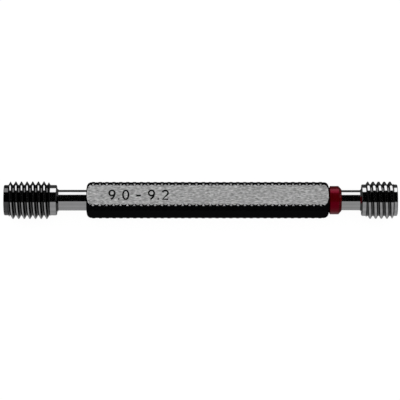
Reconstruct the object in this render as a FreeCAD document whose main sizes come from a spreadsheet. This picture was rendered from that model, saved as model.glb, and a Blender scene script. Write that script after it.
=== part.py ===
import FreeCAD, Part
import os

import Sketcher
from FreeCAD import Rotation, Vector

# Double-ended thread plug gauge, in millimetres. The axis of the gauge is the X axis, with the GO member
# at -X and the NO-GO member at +X. The origin is the middle of the gauge and the marking flat faces +Z.

doc = FreeCAD.newDocument("ThreadPlugGauge")

# ---------------------------------------------------------------- driving dimensions

dimensions = {
    # internal thread that the gauge checks
    "threadDia": 10.0,
    "pitch": 1.5,
    "flankAngle": 60.0,
    "pitchDiaTolerance": 0.18,  # the NO-GO pitch diameter is this much above the GO one
    # heights of the thread form above and below the pitch line, in pitches
    "goAddendum": 0.325,
    "goDedendum": 0.29,
    "nogoAddendum": 0.23,
    "nogoDedendum": 0.253,
    "cutterOverlap": 0.04,  # how far the thread cutter stands proud of the crest
    "pilotDrop": 0.03,  # plain pilot and relief below the thread's root, on the radius
    # GO member
    "goHead": 14.05,
    "goPilotLength": 1.15,
    "goReliefLength": 1.7,
    "goNeck": 7.9,
    "goNeckDia": 5.5,
    "goNeckFlare": 0.5,
    # NO-GO member
    "nogoHead": 9.5,
    "nogoPilotLength": 0.9,
    "nogoReliefLength": 1.1,
    "nogoNeck": 5.35,
    "nogoNeckDia": 5.36,
    "nogoNeckFlare": 0.45,
    # free ends of both members
    "centreDia": 2.6,
    "centreDrillDia": 1.25,
    "centreDrillDepth": 2.9,
    "edgeBreak": 0.15,
    # shanks of both members and their sockets in the handle
    "shankDia": 5.0,
    "shankLength": 16.0,
    "shankLead": 0.4,
    "socketSpare": 2.0,  # depth of the socket beyond the end of the shank
    # handle
    "handleLength": 64.5,
    "handleDia": 10.0,
    "flatsAcross": 8.0,
    "flatCount": 4,
    "endFaceDrop": 1.6,
    "endKneeDrop": 0.6,
    "endKneeLength": 0.45,
    "endBevelLength": 1.5,
    # coloured ring that marks the NO-GO end
    "ringLength": 3.35,
    "ringWall": 1.08,
    "ringPlay": 0.02,  # radial clearance of the ring on the neck
    "ringHandleBreak": 0.3,
    "ringHandleDrop": 0.75,
    "ringFrontBreak": 0.8,
    "ringFrontDrop": 0.9,
}

sizes = doc.addObject("Spreadsheet::Sheet", "Sizes")
for row, (name, value) in enumerate(dimensions.items(), 1):
    sizes.set(f"A{row}", name)
    sizes.set(f"B{row}", str(value))
    sizes.setAlias(f"B{row}", name)
doc.recompute()

halfFlank = "Sizes.flankAngle / 2 * 1deg"
overall = (
    "(Sizes.goHead + Sizes.goNeck + Sizes.handleLength"
    " + Sizes.ringLength + Sizes.nogoNeck + Sizes.nogoHead)"
)
drillTipAngle = "59deg"
pitchRadius = {
    "go": "(Sizes.threadDia / 2 - Sizes.goAddendum * Sizes.pitch)",
    "nogo": "((Sizes.threadDia + Sizes.pitchDiaTolerance) / 2 - Sizes.goAddendum * Sizes.pitch)",
}


# ---------------------------------------------------------------- helpers


def originPlane(body, role):
    return next(item for item in body.Origin.OriginFeatures if item.Role == role)


def addProfile(body, name, role, corners):
    """A closed polygon whose corners are pairs of expressions of the sheet."""
    sketch = body.newObject("Sketcher::SketchObject", name)
    sketch.AttachmentSupport = [(originPlane(body, role), "")]
    sketch.MapMode = "FlatFace"
    points = []
    for across, up in corners:
        points.append(Vector(float(sketch.evalExpression(across)), float(sketch.evalExpression(up)), 0))
    for start, end in zip(points, points[1:] + points[:1]):
        sketch.addGeometry(Part.LineSegment(start, end), False)
    for index, (across, up) in enumerate(corners):
        previous = (index - 1) % len(corners)
        sketch.addConstraint(Sketcher.Constraint("Coincident", previous, 2, index, 1))
        for kind, axis, expression, value in (
            ("DistanceX", -2, across, points[index].x),
            ("DistanceY", -1, up, points[index].y),
        ):
            if expression == "0":
                sketch.addConstraint(Sketcher.Constraint("PointOnObject", index, 1, axis))
                continue
            place = sketch.addConstraint(Sketcher.Constraint(kind, index, 1, value))
            sketch.setExpression(f"Constraints[{place}]", expression)
    return sketch


def turn(body, name, sketch, kind="PartDesign::Revolution"):
    """Revolves a profile round the X axis, to add it or, as a groove, to cut it away."""
    feature = body.newObject(kind, name)
    feature.Profile = sketch
    feature.ReferenceAxis = (sketch, ["H_Axis"])
    feature.Angle = 360
    doc.recompute()
    return feature


def cutting(body, before, name):
    """Stops the build when a cut has taken nothing away."""
    doc.recompute()
    if not body.Shape.Volume < before - 1e-6:
        raise RuntimeError(f"{name} cut nothing")


# ---------------------------------------------------------------- the two gauging members


def crestRadius(end):
    return f"({pitchRadius[end]} + Sizes.{end}Addendum * Sizes.pitch)"


def rootRadius(end):
    return f"({pitchRadius[end]} - Sizes.{end}Dedendum * Sizes.pitch)"


def memberCorners(end):
    """Half section of a member along its own X axis, from its free end to the tip of its shank."""
    centre = "Sizes.centreDia / 2"
    drill = "Sizes.centreDrillDia / 2"
    crest = crestRadius(end)
    pilot = f"({rootRadius(end)} - Sizes.pilotDrop)"
    neck = f"Sizes.{end}NeckDia / 2"
    flare = f"Sizes.{end}NeckFlare"
    head = f"Sizes.{end}Head"
    threadStart = f"Sizes.{end}PilotLength"
    threadEnd = f"{head} - Sizes.{end}ReliefLength"
    slope = f"({crest} - {pilot}) * tan({halfFlank})"
    seat = f"{head} + Sizes.{end}Neck" + (" + Sizes.ringLength" if end == "nogo" else "")
    return [
        # 60 degree centre hole in the free end
        ("Sizes.centreDrillDepth", "0"),
        (f"Sizes.centreDrillDepth - {drill} / tan({drillTipAngle})", drill),
        (f"({centre} - {drill}) / tan(30deg)", drill),
        ("0", centre),
        # pilot, thread land and relief collar
        ("0", f"{pilot} - Sizes.edgeBreak"),
        ("Sizes.edgeBreak", pilot),
        (threadStart, pilot),
        (f"{threadStart} + {slope}", crest),
        (f"{threadEnd} - {slope}", crest),
        (threadEnd, pilot),
        (f"{head} - Sizes.edgeBreak", pilot),
        (head, f"{pilot} - Sizes.edgeBreak"),
        # neck, then the shank inside the handle
        (head, f"{neck} + {flare}"),
        (f"{head} + {flare}", neck),
        (seat, neck),
        (seat, "Sizes.shankDia / 2"),
        (f"{seat} + Sizes.shankLength - Sizes.shankLead", "Sizes.shankDia / 2"),
        (f"{seat} + Sizes.shankLength", "Sizes.shankDia / 2 - Sizes.shankLead"),
        (f"{seat} + Sizes.shankLength", "0"),
    ]


def grooveCorners(end):
    """Section of the groove between two crests, centred just in front of the pilot."""
    top = f"({crestRadius(end)} + Sizes.cutterOverlap)"
    root = rootRadius(end)
    halfTop = f"(Sizes.pitch / 4 + ({top} - {pitchRadius[end]}) * tan({halfFlank}))"
    halfRoot = f"(Sizes.pitch / 4 - ({pitchRadius[end]} - {root}) * tan({halfFlank}))"
    middle = f"(Sizes.{end}PilotLength - Sizes.pitch)"
    return [
        (f"{middle} - {halfTop}", top),
        (f"{middle} - {halfRoot}", root),
        (f"{middle} + {halfRoot}", root),
        (f"{middle} + {halfTop}", top),
    ]


def addMember(end, label):
    """A plug with a right-hand thread, its neck and its taper shank, turned and ground from one bar."""
    body = doc.addObject("PartDesign::Body", label)
    body.Label = label
    turn(body, f"{label}_turned", addProfile(body, f"{label}_section", "XZ_Plane", memberCorners(end)))
    before = body.Shape.Volume
    groove = addProfile(body, f"{label}_thread_section", "XZ_Plane", grooveCorners(end))
    thread = body.newObject("PartDesign::SubtractiveHelix", f"{label}_thread")
    thread.Profile = groove
    thread.ReferenceAxis = (groove, ["H_Axis"])
    thread.Mode = "pitch-height-angle"
    thread.setExpression("Pitch", "Sizes.pitch")
    thread.setExpression("Height", f"Sizes.{end}Head - Sizes.{end}PilotLength + Sizes.pitch")
    cutting(body, before, thread.Name)
    return body


# ---------------------------------------------------------------- handle


def socketCorners(mouth, inward):
    """Half section of a reamed socket: mouth is the x of the end face, inward is + or -."""
    bottom = f"{mouth} {inward} (Sizes.shankLength + Sizes.socketSpare)"
    return [(mouth, "0"), (mouth, "Sizes.shankDia / 2"), (bottom, "Sizes.shankDia / 2"), (bottom, "0")]


def addHandle():
    """A round bar with eased ends, four flats and a socket for a shank in each end."""
    body = doc.addObject("PartDesign::Body", "handle")
    body.Label = "handle"
    radius = "Sizes.handleDia / 2"
    length = "Sizes.handleLength"
    nearEnd = [
        ("0", "0"),
        ("0", f"{radius} - Sizes.endFaceDrop"),
        ("Sizes.endKneeLength", f"{radius} - Sizes.endKneeDrop"),
        ("Sizes.endBevelLength", radius),
    ]
    farEnd = [(length, up) if along == "0" else (f"{length} - {along}", up) for along, up in reversed(nearEnd)]
    turn(body, "handle_bar", addProfile(body, "handle_section", "XZ_Plane", nearEnd + farEnd))

    before = body.Shape.Volume
    across = "Sizes.flatsAcross / 2"
    window = addProfile(body, "flat_window", "YZ_Plane",
                        [(f"-{radius}", across), (radius, across), (radius, "Sizes.handleDia"),
                         (f"-{radius}", "Sizes.handleDia")])
    flat = body.newObject("PartDesign::Pocket", "flat")
    flat.Profile = window
    flat.Type = "ThroughAll"
    flat.Reversed = True
    cutting(body, before, "flat")
    before = body.Shape.Volume
    flats = body.newObject("PartDesign::PolarPattern", "flats")
    flats.Originals = [flat]
    flats.Axis = (window, ["N_Axis"])
    flats.Angle = 360
    flats.setExpression("Occurrences", "Sizes.flatCount")
    body.Tip = flats
    cutting(body, before, "flats")

    for name, mouth, inward in (("go_socket", "0", "+"), ("nogo_socket", length, "-")):
        before = body.Shape.Volume
        turn(body, name, addProfile(body, f"{name}_section", "XZ_Plane", socketCorners(mouth, inward)),
             "PartDesign::Groove")
        cutting(body, before, name)
    return body


# ---------------------------------------------------------------- NO-GO ring


def addRing():
    """The coloured ring on the NO-GO neck, with its long bevel away from the handle."""
    body = doc.addObject("PartDesign::Body", "nogo_ring")
    body.Label = "nogo_ring"
    bore = "(Sizes.nogoNeckDia / 2 + Sizes.ringPlay)"
    radius = f"({bore} + Sizes.ringWall)"
    length = "Sizes.ringLength"
    turn(body, "ring_turned", addProfile(body, "ring_section", "XZ_Plane", [
        ("0", bore),
        ("0", f"{radius} - Sizes.ringHandleDrop"),
        ("Sizes.ringHandleBreak", radius),
        (f"{length} - Sizes.ringFrontBreak", radius),
        (length, f"{radius} - Sizes.ringFrontDrop"),
        (length, bore),
    ]))
    return body


# ---------------------------------------------------------------- assembly

goMember = addMember("go", "go_member")
goMember.setExpression("Placement.Base.x", f"-{overall} / 2")

handle = addHandle()
handle.setExpression("Placement.Base.x", f"Sizes.goHead + Sizes.goNeck - {overall} / 2")

ring = addRing()
ring.setExpression("Placement.Base.x", f"Sizes.goHead + Sizes.goNeck + Sizes.handleLength - {overall} / 2")

nogoMember = addMember("nogo", "nogo_member")
nogoMember.Placement.Rotation = Rotation(Vector(0, 0, 1), 180)
nogoMember.setExpression("Placement.Base.x", f"{overall} / 2")

doc.recompute()
for item in doc.Objects:
    if "Invalid" in item.State or "Error" in item.State:
        raise RuntimeError(f"{item.Name} did not recompute")

os.makedirs("parts", exist_ok=True)
for body in (goMember, handle, ring, nogoMember):
    shape = body.Shape
    if shape.isNull() or not shape.isValid() or len(shape.Solids) != 1:
        raise RuntimeError(f"{body.Label} is not one valid solid")
    shape.exportStep(f"parts/{body.Label}.step")
    box = shape.BoundBox
    print(f"{body.Label}: {shape.Volume:.1f} mm3, x {box.XMin:.2f} to {box.XMax:.2f}")
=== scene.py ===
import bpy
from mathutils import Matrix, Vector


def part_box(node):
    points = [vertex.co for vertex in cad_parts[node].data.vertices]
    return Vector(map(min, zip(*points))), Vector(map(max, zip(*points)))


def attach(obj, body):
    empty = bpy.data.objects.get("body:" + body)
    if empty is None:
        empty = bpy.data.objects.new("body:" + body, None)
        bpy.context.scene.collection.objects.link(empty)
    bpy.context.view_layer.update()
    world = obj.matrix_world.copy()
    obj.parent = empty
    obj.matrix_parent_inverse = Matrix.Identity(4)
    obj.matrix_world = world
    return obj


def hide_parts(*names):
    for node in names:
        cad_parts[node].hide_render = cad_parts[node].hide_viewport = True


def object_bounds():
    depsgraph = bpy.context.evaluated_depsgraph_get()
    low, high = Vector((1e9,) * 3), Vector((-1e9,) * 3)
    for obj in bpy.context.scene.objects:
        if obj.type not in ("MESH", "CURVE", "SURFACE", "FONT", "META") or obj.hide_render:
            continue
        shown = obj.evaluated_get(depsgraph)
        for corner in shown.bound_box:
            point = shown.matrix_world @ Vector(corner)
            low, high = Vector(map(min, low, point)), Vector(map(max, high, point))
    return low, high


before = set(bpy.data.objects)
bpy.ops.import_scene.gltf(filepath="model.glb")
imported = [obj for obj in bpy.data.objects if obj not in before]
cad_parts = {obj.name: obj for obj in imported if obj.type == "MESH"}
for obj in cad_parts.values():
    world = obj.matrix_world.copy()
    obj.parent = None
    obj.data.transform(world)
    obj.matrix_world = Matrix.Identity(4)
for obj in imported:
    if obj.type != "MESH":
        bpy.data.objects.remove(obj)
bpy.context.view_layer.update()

import math

import bmesh
import bpy
from mathutils import Vector

print("frame loaded:", ", ".join(sorted(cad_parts)))

mm = 0.001


def grey(level):
    return (level, level, level, 1)


# Node helpers: maths on sockets, and one way to add any other node.
class Wire:
    def __init__(self, kit, socket):
        self.kit = kit
        self.socket = socket

    def maths(self, operation, *others):
        values = [self, *others]
        node = self.kit.add("ShaderNodeMath", {"operation": operation}, dict(enumerate(values)))
        return Wire(self.kit, node.outputs[0])

    def __add__(self, other):
        return self.maths("ADD", other)

    def __sub__(self, other):
        return self.maths("SUBTRACT", other)

    def __mul__(self, other):
        return self.maths("MULTIPLY", other)

    def __truediv__(self, other):
        return self.maths("DIVIDE", other)

    def __rsub__(self, other):
        return self.maths("MULTIPLY", -1).maths("ADD", other)

    def __gt__(self, other):
        return self.maths("GREATER_THAN", other)

    def __lt__(self, other):
        return self.maths("LESS_THAN", other)

    def __mod__(self, other):
        return self.maths("FLOORED_MODULO", other)

    __radd__ = __add__
    __rmul__ = __mul__


class Kit:
    def __init__(self, tree):
        self.tree = tree

    def add(self, kind, settings=None, inputs=None):
        node = self.tree.nodes.new(kind)
        for name, value in (settings or {}).items():
            if name == "stops":
                self.setStops(node.color_ramp, value)
            else:
                setattr(node, name, value)
        for name, value in (inputs or {}).items():
            if isinstance(value, Wire):
                self.tree.links.new(value.socket, node.inputs[name])
            else:
                node.inputs[name].default_value = value
        return node

    def setStops(self, ramp, stops):
        while len(ramp.elements) < len(stops):
            ramp.elements.new(1.0)
        for element, (place, shade) in zip(ramp.elements, stops):
            element.position = place
            element.color = grey(shade)

    def out(self, kind, output, settings=None, inputs=None):
        return Wire(self, self.add(kind, settings, inputs).outputs[output])

    def axes(self, vector):
        parts = self.add("ShaderNodeSeparateXYZ", None, {0: vector})
        return [Wire(self, parts.outputs[axis]) for axis in "XYZ"]

    def noise(self, place, scale, detail, stretch=None):
        if stretch:
            place = self.out("ShaderNodeMapping", 0, None, {"Vector": place, "Scale": stretch})
        inputs = {"Vector": place, "Scale": scale, "Detail": detail}
        return self.out("ShaderNodeTexNoise", "Fac", None, inputs)

    def shaded(self, red, green, blue):
        return self.out("ShaderNodeCombineColor", 0, None, {0: red, 1: green, 2: blue})

    def smooth(self, value, low, high, start=0.0, end=1.0):
        return self.out("ShaderNodeMapRange", 0, {"interpolation_type": "SMOOTHSTEP"},
                        {0: value, 1: low, 2: high, 3: start, 4: end})


# The studio: a white floor, a world with light and dark cards for mirrors, and the camera.
studio = {
    "cameraElevation": 69.1,
    "cameraDistance": 0.75,
    "frameWidth": 0.10656,
    "aimAlong": -0.00017,
    "aimUp": 0.00005,
    "floorHalf": 1.5,
    "floorGlow": 1.03,
    # The mirrored cards: degrees from the front horizon over the top to the back, and how bright.
    "cards": [(-180, 0.035), (-112, 0.035), (-104, 0.18), (-75, 0.21), (-50, 0.27), (-30, 0.22), (-5, 0.28),
              (20, 0.23), (53, 0.27), (57, 0.0), (131, 0.0), (135, 1.0), (170, 1.0), (174, 0.035)],
    "cardLevel": 1.8,
    "sideStart": 0.3,  # how far sideways the strips reach before the dark side cards
    "sideEnd": 0.45,
    "sideGrey": 0.06,
    "benchGrey": 0.34,  # what the floor throws back on the gauge
    "paperGlow": 0.92,  # share of the floor's white that takes no shadow
}


def makeMaterial(name):
    material = bpy.data.materials.new(name)
    material.use_nodes = True
    material.node_tree.nodes.clear()
    return material, Kit(material.node_tree)


def makeFloor():
    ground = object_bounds()[0][2]
    half = studio["floorHalf"]
    mesh = bpy.data.meshes.new("floor")
    corners = [(-half, -half, ground), (half, -half, ground), (half, half, ground), (-half, half, ground)]
    mesh.from_pydata(corners, [], [(0, 1, 2, 3)])
    floor = bpy.data.objects.new("floor", mesh)
    bpy.context.scene.collection.objects.link(floor)
    material, kit = makeMaterial("paleFloor")
    seen = kit.out("ShaderNodeLightPath", "Is Camera Ray")
    paper = kit.out("ShaderNodeMixShader", 0, None, {
        0: studio["paperGlow"],
        1: kit.out("ShaderNodeBsdfDiffuse", 0, None, {"Color": grey(1.0)}),
        2: kit.out("ShaderNodeEmission", 0, None, {"Color": grey(1.0), "Strength": studio["floorGlow"]}),
    })
    bench = kit.out("ShaderNodeBsdfDiffuse", 0, None, {"Color": grey(studio["benchGrey"])})
    shader = kit.out("ShaderNodeMixShader", 0, None, {0: seen, 1: bench, 2: paper})
    mirrored = kit.out("ShaderNodeLightPath", "Is Glossy Ray")
    shader = kit.out("ShaderNodeMixShader", 0, None,
                     {0: mirrored, 1: shader, 2: kit.out("ShaderNodeBsdfTransparent", 0)})
    kit.add("ShaderNodeOutputMaterial", None, {"Surface": shader})
    mesh.materials.append(material)


def makeWorld():
    world = bpy.data.worlds.new("studioWorld")
    bpy.context.scene.world = world
    world.use_nodes = True
    world.node_tree.nodes.clear()
    kit = Kit(world.node_tree)
    direction = kit.out("ShaderNodeTexCoord", "Generated")
    x, y, z = kit.axes(direction)
    turn = z.maths("ARCTAN2", 0 - y) * math.degrees(1)
    stops = [(angle / 360 + 0.5, level) for angle, level in studio["cards"]]
    card = kit.out("ShaderNodeValToRGB", 0, {"stops": stops}, {0: turn / 360 + 0.5}) * studio["cardLevel"]
    mirrored = kit.out("ShaderNodeLightPath", "Is Glossy Ray")
    between = kit.smooth(x.maths("ABSOLUTE"), studio["sideStart"], studio["sideEnd"], 1.0, 0.0)
    strength = 1 + mirrored * (between * (card - studio["sideGrey"]) + studio["sideGrey"] - 1)
    sky = kit.out("ShaderNodeBackground", 0, None, {"Color": grey(1.0), "Strength": strength})
    kit.add("ShaderNodeOutputWorld", None, {"Surface": sky})


def makeCamera():
    data = bpy.data.cameras.new("camera")
    data.lens = data.sensor_width * studio["cameraDistance"] / studio["frameWidth"]
    data.clip_start = 0.01
    camera = bpy.data.objects.new("camera", data)
    bpy.context.scene.collection.objects.link(camera)
    tilt = math.radians(studio["cameraElevation"])
    back = Vector((0, -math.cos(tilt), math.sin(tilt)))
    up = Vector((0, math.sin(tilt), math.cos(tilt)))
    target = Vector((studio["aimAlong"], 0, 0)) + up * studio["aimUp"]
    camera.location = target + back * studio["cameraDistance"]
    camera.rotation_euler = (math.radians(90) - tilt, 0, 0)
    bpy.context.scene.camera = camera


makeFloor()
makeWorld()
makeCamera()
bpy.context.scene.view_settings.view_transform = "Standard"
print("studio ready")


def principled(kit, inputs):
    shader = kit.out("ShaderNodeBsdfPrincipled", 0, None, inputs)
    kit.add("ShaderNodeOutputMaterial", None, {"Surface": shader})


# Polished gauge steel, with painted shade in the thread roots and on the GO pilot, its crests worn round.
steel = {
    "shade": 0.5,
    "blueness": 1.01,
    "roughness": 0.03,
    "lineScale": 9000.0,
    "lineStretch": (1.0, 0.03, 0.03),
    "lineBump": 0.12,
    "lineDepth": 0.01 * mm,
    "cloudScale": 400.0,
    "paintedShadeLevel": 0.2,  # painted shade: the colour kept in the roots against the open steel, standing in for shadow and dark reflections
    # The GO zone starts past the member's end, so its pilot, below the same radius, takes the same painted
    # shade.
    "goThread": {"start": -52.4 * mm, "end": -40.0 * mm, "dark": 4.7 * mm, "worn": 4.96 * mm},
    "nogoThread": {"start": 43.9 * mm, "end": 51.4 * mm, "dark": 4.6 * mm, "worn": 4.78 * mm},
}


def makeSteel(name, thread):
    material, kit = makeMaterial(name)
    place = kit.out("ShaderNodeTexCoord", "Object")
    x, y, z = kit.axes(place)
    radius = (y * y + z * z).maths("SQRT")
    threaded = (x > thread["start"]) * (x < thread["end"])
    crest = kit.smooth(radius, thread["dark"], thread["worn"])
    # Painted shade: below the dark radius in the threaded zone, the colour is darkened where the roots
    # would lie in shade.
    paintedShadeMask = threaded * (1 - crest)
    lines = kit.noise(place, steel["lineScale"], 3.0, steel["lineStretch"])
    cloud = kit.noise(place, steel["cloudScale"], 4.0)
    rough = steel["roughness"] + 0.04 * cloud + 0.03 * lines
    shade = steel["shade"] * (0.92 + 0.16 * cloud) * (1 - paintedShadeMask * (1 - steel["paintedShadeLevel"]))
    colour = kit.shaded(shade, shade, shade * steel["blueness"])
    outward = kit.out("ShaderNodeCombineXYZ", 0, None, {0: 0.0, 1: y / radius, 2: z / radius})
    worn = kit.out("ShaderNodeMix", 1, {"data_type": "VECTOR"},
                   {0: threaded * crest, 4: kit.out("ShaderNodeNewGeometry", "Normal"), 5: outward})
    worn = kit.out("ShaderNodeVectorMath", 0, {"operation": "NORMALIZE"}, {0: worn})
    bump = kit.out("ShaderNodeBump", 0, None,
                   {"Strength": steel["lineBump"], "Distance": steel["lineDepth"], "Height": lines,
                    "Normal": worn})
    principled(kit, {"Base Color": colour, "Metallic": 1.0, "Roughness": rough, "Normal": bump})
    return material


# Blackened steel, on the knurled lands and the three other flats.
blackOxide = {
    "shade": 0.0025,
    "blueness": 1.1,
    "roughness": 0.36,
    "gloss": 1.02,  # index of refraction: hardly any shine
    "cloudScale": 700.0,
    "pitDepth": 0.02 * mm,
}


def makeBlack():
    material, kit = makeMaterial("blackOxide")
    place = kit.out("ShaderNodeTexCoord", "Object")
    cloud = kit.noise(place, blackOxide["cloudScale"], 5.0)
    shade = blackOxide["shade"] * (0.6 + 0.8 * cloud)
    colour = kit.shaded(shade, shade, shade * blackOxide["blueness"])
    rough = blackOxide["roughness"] + 0.15 * (cloud - 0.5)
    bump = kit.out("ShaderNodeBump", 0, None,
                   {"Strength": 0.2, "Distance": blackOxide["pitDepth"], "Height": cloud})
    principled(kit, {"Base Color": colour, "Roughness": rough, "IOR": blackOxide["gloss"], "Normal": bump})
    return material


# The flat that was ground bright for the figures, with its grain along the bar.
groundFlat = {
    "shade": 0.65,
    "roughness": 0.5,
    "metal": 0.7,
    "streakScale": 4500.0,
    "streakStretch": (0.2, 1.0, 1.0),  # less along the bar draws the grain out
    "blotchScale": 2600.0,
    "blotchStretch": (0.5, 1.0, 1.0),
    "grainDepth": 0.02 * mm,
}


def makeGround():
    material, kit = makeMaterial("groundSteel")
    place = kit.out("ShaderNodeTexCoord", "Object")
    streaks = kit.noise(place, groundFlat["streakScale"], 4.0, groundFlat["streakStretch"])
    blotch = kit.noise(place, groundFlat["blotchScale"], 4.0, groundFlat["blotchStretch"])
    streaks = kit.smooth(streaks, 0.3, 0.7)
    blotch = kit.smooth(blotch, 0.3, 0.7)
    shade = groundFlat["shade"] * (0.4 + 0.7 * streaks + 0.5 * blotch)
    colour = kit.shaded(shade, shade, shade)
    rough = groundFlat["roughness"] + 0.16 * (streaks - 0.5)
    grain = streaks + 0.6 * blotch
    bump = kit.out("ShaderNodeBump", 0, None,
                   {"Strength": 0.35, "Distance": groundFlat["grainDepth"], "Height": grain})
    principled(kit, {"Base Color": colour, "Metallic": groundFlat["metal"], "Roughness": rough,
                     "Normal": bump})
    return material


# Glossy dark red of the ring that marks the NO-GO end.
ringRed = {
    "shade": (0.065, 0.0004, 0.0008),
    "spread": 0.2,  # how far the clouds lighten and darken it
    "roughness": 0.2,
    "sheen": (1.0, 0.0, 0.12, 1),
    "sheenLevel": 0.9,
    "cloudScale": 900.0,
    "dentDepth": 0.02 * mm,
}


def makeRed():
    material, kit = makeMaterial("redRing")
    place = kit.out("ShaderNodeTexCoord", "Object")
    cloud = kit.noise(place, ringRed["cloudScale"], 3.0)
    dark, light = ((*(part * share for part in ringRed["shade"]), 1)
                   for share in (1 - ringRed["spread"], 1 + ringRed["spread"]))
    colour = kit.out("ShaderNodeMix", 2, {"data_type": "RGBA"}, {0: cloud, 6: dark, 7: light})
    rough = ringRed["roughness"] + 0.08 * cloud
    bump = kit.out("ShaderNodeBump", 0, None,
                   {"Strength": 0.1, "Distance": ringRed["dentDepth"], "Height": cloud})
    principled(kit, {"Base Color": colour, "Roughness": rough, "Specular IOR Level": ringRed["sheenLevel"],
                     "Specular Tint": ringRed["sheen"], "Normal": bump})
    return material


# The dark bottom of the etched figures.
etch = {"shade": 0.003, "cloudShade": 0.004, "cloudScale": 3000.0, "roughness": 0.7, "shine": 0.1}


def makeEtch():
    material, kit = makeMaterial("etchedMark")
    cloud = kit.noise(kit.out("ShaderNodeTexCoord", "Object"), etch["cloudScale"], 2.0)
    shade = etch["shade"] + etch["cloudShade"] * cloud
    colour = kit.shaded(shade, shade, shade)
    principled(kit, {"Base Color": colour, "Roughness": etch["roughness"],
                     "Specular IOR Level": etch["shine"]})
    return material


goSteel = makeSteel("goSteel", steel["goThread"])
nogoSteel = makeSteel("nogoSteel", steel["nogoThread"])
blackOxideFinish = makeBlack()
groundSteel = makeGround()
redRing = makeRed()
etchedMark = makeEtch()


def dress(node, material):
    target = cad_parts[node]
    if not target.material_slots:
        target.data.materials.append(material)
    for slot in target.material_slots:
        slot.material = material


dress("go_member", goSteel)
dress("nogo_member", nogoSteel)
dress("nogo_ring", redRing)
print("finishes ready")


# The handle: diamond teeth wrapped round the bar, then flats ground through them and a socket in each end.
knurl = {
    "barRadius": 5.08 * mm,  # the teeth stand a little proud of the turned bar
    "teethRound": 28,
    "toothLength": 1.83 * mm,
    "toothHeight": 0.34 * mm,
    "topShare": 0.4,  # width of a tooth's flat top against its whole width
    "detail": 2,
    "endRound": 1.85 * mm,
    "flatCount": 4,
    "flatHeight": 4.0 * mm,
    "boreRadius": 2.5 * mm,
    "boreDepth": 18.0 * mm,
}


def addSockets(tree, sockets):
    for name, (kind, value) in sockets.items():
        socket = tree.interface.new_socket(name=name, in_out="INPUT", socket_type=kind)
        if value is not None:
            socket.default_value = value
    tree.interface.new_socket(name="Geometry", in_out="OUTPUT", socket_type="NodeSocketGeometry")


def knurlTree():
    tree = bpy.data.node_groups.new("knurledBar", "GeometryNodeTree")
    addSockets(tree, {
        "Tooth": ("NodeSocketGeometry", None),
        "Start": ("NodeSocketFloat", 0.0),
        "Length": ("NodeSocketFloat", 0.06),
        "Radius": ("NodeSocketFloat", 0.005),
        "Tooth Length": ("NodeSocketFloat", 0.0018),
        "Tooth Height": ("NodeSocketFloat", 0.0002),
        "End Round": ("NodeSocketFloat", 0.0016),
        "Teeth Round": ("NodeSocketInt", 28),
        "Detail": ("NodeSocketInt", 1),
        "Finish": ("NodeSocketMaterial", None),
    })
    kit = Kit(tree)
    given = kit.add("NodeGroupInput")
    tooth, start, length, radius, toothLength, toothHeight, endRound, teethRound, detail, finish = (
        Wire(kit, given.outputs[name])
        for name in ("Tooth", "Start", "Length", "Radius", "Tooth Length", "Tooth Height", "End Round",
                     "Teeth Round", "Detail", "Finish"))
    rows = (length / toothLength).maths("CEIL") + 2
    count = rows * teethRound * 2
    points = kit.out("GeometryNodePoints", 0, None, {"Count": count})
    index = kit.out("GeometryNodeInputIndex", 0)
    place = (index / 2).maths("FLOOR")
    stagger = (index % 2) * 0.5
    around = place % teethRound + stagger
    along = (place / teethRound).maths("FLOOR") + stagger - 1
    # The teeth first stand on a flat sheet: x runs along the bar and y counts teeth round it.
    spot = kit.out("ShaderNodeCombineXYZ", 0, None, {0: start + along * toothLength, 1: around})
    points = kit.out("GeometryNodeSetPosition", 0, None, {"Geometry": points, "Position": spot})
    size = kit.out("ShaderNodeCombineXYZ", 0, None, {0: toothLength, 1: 1.0, 2: toothHeight})
    teeth = kit.out("GeometryNodeInstanceOnPoints", 0, None,
                    {"Points": points, "Instance": tooth, "Scale": size})
    sheet = kit.out("GeometryNodeRealizeInstances", 0, None, {"Geometry": teeth})
    sheet = kit.out("GeometryNodeSubdivideMesh", 0, None, {"Mesh": sheet, "Level": detail})
    x, t, height = kit.axes(kit.out("GeometryNodeInputPosition", 0))
    # Then the sheet is wrapped round the bar, cut down to the rounded ends.
    toEnd = (x - start).maths("MINIMUM", start + length - x)
    nearEnd = toEnd.maths("MAXIMUM", 0.0).maths("MINIMUM", endRound)
    inset = endRound - nearEnd
    drop = endRound - (endRound * endRound - inset * inset).maths("MAXIMUM", 0.0).maths("SQRT")
    reach = (radius - toothHeight + height).maths("MINIMUM", radius - drop)
    angle = t / teethRound * math.tau
    wrapped = kit.out("ShaderNodeCombineXYZ", 0, None,
                      {0: x, 1: reach * angle.maths("COSINE"), 2: reach * angle.maths("SINE")})
    bar = kit.out("GeometryNodeSetPosition", 0, None, {"Geometry": sheet, "Position": wrapped})
    bar = kit.out("GeometryNodeMergeByDistance", 0, None, {"Geometry": bar, "Distance": 0.001 * mm})
    bar = kit.out("GeometryNodeSetMaterial", 0, None, {"Geometry": bar, "Material": finish})
    kit.add("NodeGroupOutput", None, {"Geometry": bar})
    return tree


def makeTooth():
    top = knurl["topShare"]
    outline = [(-0.5, 0.0), (0.0, -0.5), (0.5, 0.0), (0.0, 0.5)]
    vertices = [(x, y, 0.0) for x, y in outline] + [(x * top, y * top, 1.0) for x, y in outline]
    sides = [(side, (side + 1) % 4, (side + 1) % 4 + 4, side + 4) for side in range(4)]
    faces = [(4, 5, 6, 7)] + sides
    mesh = bpy.data.meshes.new("tooth")
    mesh.from_pydata(vertices, [], faces)
    return mesh


def evaluated(piece):
    bpy.context.view_layer.update()
    graph = bpy.context.evaluated_depsgraph_get()
    return bpy.data.meshes.new_from_object(piece.evaluated_get(graph))


def linkObject(name, mesh):
    piece = bpy.data.objects.new(name, mesh)
    bpy.context.scene.collection.objects.link(piece)
    return piece


def smoothBy(mesh, degrees):
    mesh.shade_smooth()
    mesh.set_sharp_from_angle(angle=math.radians(degrees))


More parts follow.
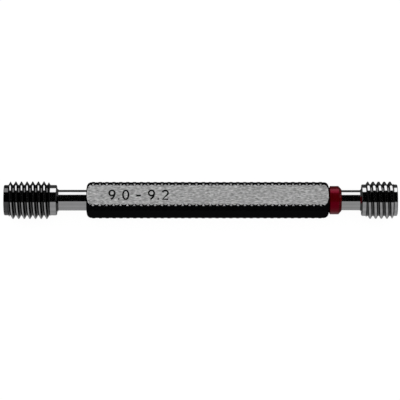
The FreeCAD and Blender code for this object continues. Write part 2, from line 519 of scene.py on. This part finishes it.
def cutOff(work, point, normal):
    everything = work.verts[:] + work.edges[:] + work.faces[:]
    return bmesh.ops.bisect_plane(work, geom=everything, dist=1e-7, plane_co=point, plane_no=normal,
                                  clear_outer=True)


def cutFlat(work, normal, distance, finishIndex):
    cut = cutOff(work, normal * distance, normal)
    rim = [item for item in cut["geom_cut"] if isinstance(item, bmesh.types.BMEdge)]
    for face in bmesh.ops.contextual_create(work, geom=rim)["faces"]:
        face.material_index = finishIndex


def boreEnd(work, at, inward):
    rim = [edge for edge in work.edges
           if edge.is_boundary and all(abs(vertex.co.x - at) < 1e-6 for vertex in edge.verts)]
    for depth in (0.0, knurl["boreDepth"]):  # first the end face, then the wall of the socket
        made = bmesh.ops.extrude_edge_only(work, edges=rim)["geom"]
        for vertex in (item for item in made if isinstance(item, bmesh.types.BMVert)):
            spoke = Vector((0, vertex.co.y, vertex.co.z)).normalized() * knurl["boreRadius"]
            vertex.co = Vector((at + inward * depth, spoke.y, spoke.z))
        rim = [item for item in made if isinstance(item, bmesh.types.BMEdge) and item.is_boundary]
    bmesh.ops.contextual_create(work, geom=rim)


def makeHandle():
    low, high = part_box("handle")
    bar = linkObject("handleBar", makeTooth())
    tree = knurlTree()
    modifier = bar.modifiers.new("knurl", "NODES")
    modifier.node_group = tree
    values = {
        "Start": low[0],
        "Length": high[0] - low[0],
        "Radius": knurl["barRadius"],
        "Tooth Length": knurl["toothLength"],
        "Tooth Height": knurl["toothHeight"],
        "End Round": knurl["endRound"],
        "Teeth Round": knurl["teethRound"],
        "Detail": knurl["detail"],
        "Finish": blackOxideFinish,
    }
    for item in tree.interface.items_tree:
        if item.item_type == "SOCKET" and item.name in values:
            modifier[item.identifier] = values[item.name]
    mesh = evaluated(bar)
    bpy.data.objects.remove(bar)
    work = bmesh.new()
    work.from_mesh(mesh)
    for face in work.faces:
        face.material_index = 0  # black all over, before a flat is cut
    for at, side in ((low[0], -1), (high[0], 1)):
        cutOff(work, (at, 0, 0), (side, 0, 0))
        boreEnd(work, at, -side)
    for step in range(knurl["flatCount"]):
        spin = step * math.tau / knurl["flatCount"]
        normal = Vector((0, math.sin(spin), math.cos(spin)))
        cutFlat(work, normal, knurl["flatHeight"], 1 if step == 0 else 0)  # only the top one is bright
    bmesh.ops.recalc_face_normals(work, faces=work.faces[:])
    mesh.materials.clear()
    mesh.materials.append(blackOxideFinish)
    mesh.materials.append(groundSteel)
    work.to_mesh(mesh)
    work.free()
    smoothBy(mesh, 25)
    mesh.name = "knurledHandle"
    handle = linkObject("knurled_handle", mesh)
    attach(handle, "root")
    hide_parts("handle")
    print("handle:", len(mesh.polygons), "faces")


makeHandle()


# Size figures on the bright flat: the two pitch diameters.
figures = {
    "text": "9.0 - 9.2",
    "start": -24.3 * mm,
    "height": 3.0 * mm,
    "stroke": 0.23 * mm,
    "gap": 0.34,  # between figures, against their height
    "rise": 0.06,  # how much of a stroke's roundness stands above the flat
}


def arc(cx, cy, rx, ry, start, end, steps=20):
    turns = [math.radians(start + (end - start) * step / steps) for step in range(steps + 1)]
    return [(cx + rx * math.cos(turn), cy + ry * math.sin(turn)) for turn in turns]


# Each figure's width and strokes, on a height of one.
glyphs = {
    "0": (0.62, [arc(0.31, 0.5, 0.29, 0.5, 0, 360)]),
    "2": (0.62, [arc(0.31, 0.71, 0.29, 0.29, 165, -35, 14) + [(0.02, 0.0), (0.62, 0.0)]]),
    "9": (0.62, [arc(0.31, 0.7, 0.29, 0.3, 0, 360), arc(-0.05, 0.7, 0.65, 0.75, 0, -68, 12)]),
    ".": (0.14, [[(0.0, 0.04), (0.14, 0.04)]]),
    "-": (0.5, [[(0.0, 0.42), (0.5, 0.42)]]),
    " ": (0.1, []),
}


def makeFigures():
    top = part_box("handle")[1][2]
    curve = bpy.data.curves.new("figures", "CURVE")
    curve.dimensions = "3D"
    curve.bevel_depth = figures["stroke"]
    curve.bevel_resolution = 3
    curve.use_fill_caps = True
    along = 0.0
    tall = figures["height"] - 2 * figures["stroke"]
    for letter in figures["text"]:
        width, strokes = glyphs[letter]
        for stroke in strokes:
            spline = curve.splines.new("POLY")
            closed = len(stroke) > 3 and math.dist(stroke[0], stroke[-1]) < 1e-6
            points = stroke[:-1] if closed else stroke
            spline.points.add(len(points) - 1)
            spline.use_cyclic_u = closed
            for point, (x, y) in zip(spline.points, points):
                point.co = (along + x * tall, (y - 0.5) * tall, 0.0, 1.0)
        along += (width + figures["gap"]) * tall
    holder = linkObject("figureStrokes", curve)
    mesh = evaluated(holder)
    bpy.data.objects.remove(holder)
    for vertex in mesh.vertices:
        vertex.co = (figures["start"] + vertex.co.x, vertex.co.y, top + vertex.co.z * figures["rise"])
    mesh.materials.clear()
    mesh.materials.append(etchedMark)
    smoothBy(mesh, 40)
    marks = linkObject("size_figures", mesh)
    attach(marks, "root")
    print("figures: width", round(along / mm, 1), "mm")


makeFigures()
